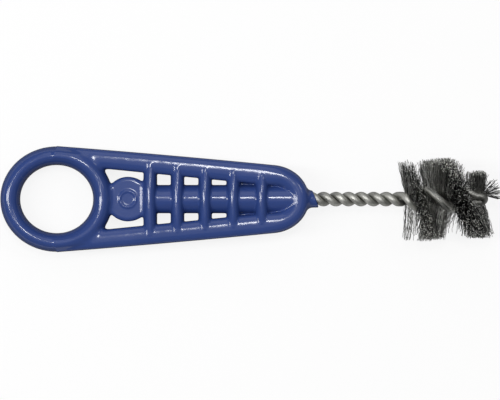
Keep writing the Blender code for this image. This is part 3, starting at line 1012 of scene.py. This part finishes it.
@dataclass(frozen=True)
class DrawnSteelWire:
    """Zinc coated low carbon steel wire, drawn through a die and then twisted. Sizes are in millimetres."""

    girth: float
    tip_x: float
    dark: str = "#A0A09B"
    light: str = "#DEDED8"
    groove_shade: float = 0.75
    tip_dimming: float = 0.5
    tip_dimming_reach: Span = (6.0, 3.0)
    roughness: Span = (0.4, 0.62)
    line_depth: float = 0.02

    def material(self) -> Material:
        """Build the material: satin metal with fine die lines, dull patches and painted shade in the grooves.
        """
        # Drawn wire gives the eye soft long glints that are broken up by lines along the wire
        material, tree, shader = new_material("drawn_galvanised_steel_wire")
        uv = add_node(tree, "UVMap", uv_map="wire_mm")
        drawn = add_node(tree, "Mapping", {"Vector": uv, "Scale": (0.12, 5.0, 1.0)})
        lines = add_node(tree, "TexNoise", {"Vector": drawn, "Scale": 1.0, "Detail": 4.0})
        patches = add_node(tree, "TexNoise", {"Vector": uv, "Scale": 0.45, "Detail": 3.0})
        shade = add_node(tree, "Math", {0: lines, 1: patches}, operation="MULTIPLY")
        spread = add_node(tree, "MapRange", {"Value": shade, "From Min": 0.12, "From Max": 0.4})
        colour = add_node(
            tree,
            "MixRGB",
            {"Fac": spread, "Color1": hex_to_linear(self.dark), "Color2": hex_to_linear(self.light)},
        )
        # The wire faces its other strand a quarter of the way round, where painted shade darkens the groove
        way_round = add_node(tree, "SeparateXYZ", {"Vector": uv}).outputs["Y"]
        turn = add_node(tree, "Math", {0: way_round, 1: 2 * math.pi / self.girth}, operation="MULTIPLY")
        inwards = add_node(tree, "Math", {0: turn}, operation="SINE")
        groove_shading = add_node(
            tree,
            "MapRange",
            {"Value": inwards, "From Min": -0.55, "From Max": 0.45, "To Min": 1.0, "To Max": self.groove_shade},
        )
        # The wire's colour darkens towards the fold at the brush's tip
        place = add_node(tree, "TexCoord").outputs["Object"]
        along = add_node(tree, "SeparateXYZ", {"Vector": place}).outputs["X"]
        start, full = ((self.tip_x - reach) * MM for reach in self.tip_dimming_reach)
        bright = add_node(
            tree,
            "MapRange",
            {"Value": along, "From Min": start, "From Max": full, "To Min": 1.0, "To Max": self.tip_dimming},
        )
        for share in (groove_shading, bright):
            colour = add_node(tree, "VectorMath", {0: colour, "Scale": share}, operation="SCALE")
        least, most = self.roughness
        dull = add_node(tree, "MapRange", {"Value": patches, "To Min": least, "To Max": most})
        bump = add_node(tree, "Bump", {"Height": lines, "Strength": 0.5, "Distance": self.line_depth * MM})
        plug(tree, shader, {"Base Color": colour, "Metallic": 1.0, "Roughness": dull, "Normal": bump})
        return material


@dataclass(frozen=True)
class CrimpedSteelFilament:
    """Hard drawn carbon steel filament, oil tempered dark and crimped between gears."""

    dark: str = "#2A2A29"
    light: str = "#D4D4D0"
    cut: str = "#F4F4EE"
    roughness: float = 0.3
    cut_roughness: float = 0.5

    def material(self) -> Material:
        """Build the material: dark metal that differs from one filament to the next, with painted sheen and
        bright cut ends.
        """
        # Tempered filament gives the eye a dark mass with small sharp glints, and no two filaments alike
        material, tree, shader = new_material("tempered_steel_filament")
        tone = add_node(tree, "Attribute", attribute_name="filament_tone_and_sheen").outputs["Fac"]
        is_cut = add_node(tree, "MapRange", {"Value": tone, "From Min": 1.0, "From Max": 1.2})
        colour = hex_to_linear(self.dark)
        for share, code in ((tone, self.light), (is_cut, self.cut)):
            colour = add_node(tree, "MixRGB", {"Fac": share, "Color1": colour, "Color2": hex_to_linear(code)})
        sheared = add_node(
            tree, "MapRange", {"Value": is_cut, "To Min": self.roughness, "To Max": self.cut_roughness}
        )
        plug(tree, shader, {"Base Color": colour, "Metallic": 1.0, "Roughness": sheared})
        return material


@dataclass(frozen=True)
class Softbox:
    """An area lamp that faces the brush. Sizes are in millimetres."""

    name: str
    place: tuple[float, float, float]
    size: Span
    radiance: float

    def add(self) -> None:
        """Add the lamp. A radiance of 1 is that of a white surface in full light."""
        data = bpy.data.lights.new(self.name, "AREA")
        data.shape = "RECTANGLE"
        data.size, data.size_y = self.size[0] * MM, self.size[1] * MM
        data.energy = self.radiance * math.pi * data.size * data.size_y
        lamp = add_object(self.name, data)
        lamp.location = Vector(self.place) * MM
        lamp.rotation_euler = Vector(self.place).to_track_quat("Z", "Y").to_euler()


@dataclass(frozen=True)
class Studio:
    """The plain pale floor, the soft lights, and the camera over the brush. Sizes are in millimetres.

    A strip to the left and a small lamp overhead give the long glints. The other lamps and the world fill.
    """

    pixels: tuple[int, int] = (500, 400)
    pixels_per_mm: float = 3.4
    middle_pixel: Span = (249.35, 199.1)
    camera_distance: float = 900.0
    sensor: float = 36.0
    lamps: tuple[Softbox, ...] = (
        Softbox("left_strip", (-380.0, 20.0, 590.0), (62.0, 480.0), 21.0),
        Softbox("overhead", (18.0, 145.0, 720.0), (90.0, 90.0), 38.0),
        Softbox("ceiling", (0.0, 150.0, 1100.0), (1000.0, 1000.0), 0.42),
        Softbox("behind", (-40.0, 560.0, 520.0), (450.0, 450.0), 0.9),
        Softbox("right", (440.0, 230.0, 700.0), (160.0, 160.0), 5.0),
    )
    world_fill: float = 0.2
    floor_size: float = 4000.0
    floor_lit: str = "#7A7A7A"
    floor_shown: str = "#6C6C6C"
    floor_glow: float = 0.86
    mirrored_from: Span = (12.0, 80.0)
    ring_contact_x: float = -70.0

    def add_camera(self) -> None:
        """Look straight down on the handle's face, with the photograph's width on its middle plane."""
        width = self.pixels[0] / self.pixels_per_mm
        data = bpy.data.cameras.new("camera")
        data.sensor_width = self.sensor
        data.lens = self.sensor * self.camera_distance / width
        data.clip_start = 0.01
        data.clip_end = 20.0
        camera = add_object("camera", data)
        x, y = (np.array(self.pixels) / 2 - self.middle_pixel) / self.pixels_per_mm
        camera.location = (x * MM, -y * MM, self.camera_distance * MM)
        bpy.context.scene.camera = camera

    def add_lights(self) -> None:
        """Add the lamps, and a world that is white for the camera and fills softly."""
        for lamp in self.lamps:
            lamp.add()
        world = bpy.data.worlds.new("studio")
        world.use_nodes = True
        tree = world.node_tree
        tree.nodes.clear()
        is_seen = add_node(tree, "LightPath").outputs["Is Camera Ray"]
        white = hex_to_linear("#FFFFFF")
        soft = add_node(tree, "Background", {"Color": white, "Strength": self.world_fill})
        bright = add_node(tree, "Background", {"Color": white, "Strength": 1.0})
        both = add_node(tree, "MixShader", {0: is_seen, 1: soft, 2: bright})
        add_node(tree, "OutputWorld", {"Surface": both})
        bpy.context.scene.world = world

    def floor_material(self) -> Material:
        """White floor that shines for the camera and in far reflections. Its lit share keeps the shadow; its
        grey for other rays is painted shade.
        """
        material, tree, _ = new_material("white_paper_floor")
        tree.nodes.clear()
        rays = add_node(tree, "LightPath").outputs
        # Right under the brush its reflections see only the grey lit share, with its shadow: painted shade on
        # the brush's rims
        near, far = self.mirrored_from
        clear = add_node(
            tree, "MapRange", {"Value": rays["Ray Length"], "From Min": near * MM, "From Max": far * MM}
        )
        seen = add_node(tree, "Math", {0: rays["Is Glossy Ray"], 1: clear}, operation="MULTIPLY")
        seen = add_node(tree, "Math", {0: seen, 1: rays["Is Camera Ray"]}, operation="MAXIMUM")
        lit = add_node(tree, "BsdfDiffuse", {"Color": hex_to_linear(self.floor_lit)})
        half_lit = add_node(tree, "BsdfDiffuse", {"Color": hex_to_linear(self.floor_shown)})
        glow = add_node(tree, "Emission", {"Color": hex_to_linear("#FFFFFF"), "Strength": self.floor_glow})
        shown = add_node(tree, "AddShader", {0: half_lit, 1: glow})
        both = add_node(tree, "MixShader", {0: seen, 1: lit, 2: shown})
        add_node(tree, "OutputMaterial", {"Surface": both})
        return material

    def add_floor(self, pieces: list[Object], ring_height: float) -> None:
        """Lay the floor under the resting brush.

        The brush lies on the back of its ring and on its lowest bristles, so the floor is the plane through
        the ring's foot with the least fall that leaves every point above it.

        Args:
            pieces: The bristle pieces.
            ring_height: Half the ring's thickness.
        """
        points = np.concatenate([mesh_points(piece) for piece in pieces])
        fall = ((points[:, 2] + ring_height) / (points[:, 0] - self.ring_contact_x)).min()
        half = self.floor_size / 2
        corners = np.array([(-half, -half), (half, -half), (half, half), (-half, half)])
        heights = fall * (corners[:, 0] - self.ring_contact_x) - ring_height
        floor = new_piece("floor", np.column_stack([corners, heights]), [np.array([[0, 1, 2, 3]])])
        floor.data.materials.append(self.floor_material())
        LOG.info("floor falls by %.2f degrees", math.degrees(math.atan(-fall)))


def mesh_points(piece: Object) -> Array:
    """A piece's vertices in millimetres."""
    points = np.zeros(len(piece.data.vertices) * 3, np.float32)
    piece.data.vertices.foreach_get("co", points)
    return points.reshape(-1, 3).astype(float) / MM


def main() -> None:
    """Build the brush piece by piece, then the studio round it."""
    logging.basicConfig(level=logging.INFO, format="%(message)s")
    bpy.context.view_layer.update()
    collar_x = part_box("handle")[1].x / MM
    handle = MouldedHandle(collar_x)
    hand_over(handle.build(), MouldedPolypropylene().material(), "handle")
    wire = TwistedWire(collar_x)
    steel = DrawnSteelWire(wire.girth(), wire.tip_x()).material()
    hand_over(wire.build(), steel, "stem_wire")
    filament = CrimpedSteelFilament().material()
    bristles = BristleHead(wire).build()
    for number, piece in enumerate(bristles, 1):
        hand_over(piece, filament, f"bristle_bundle_{number:02d}")
    studio = Studio()
    studio.add_camera()
    studio.add_lights()
    studio.add_floor(bristles, handle.ring_height)
    bpy.context.scene.view_settings.view_transform = "Standard"


if __name__ == "__main__":
    main()
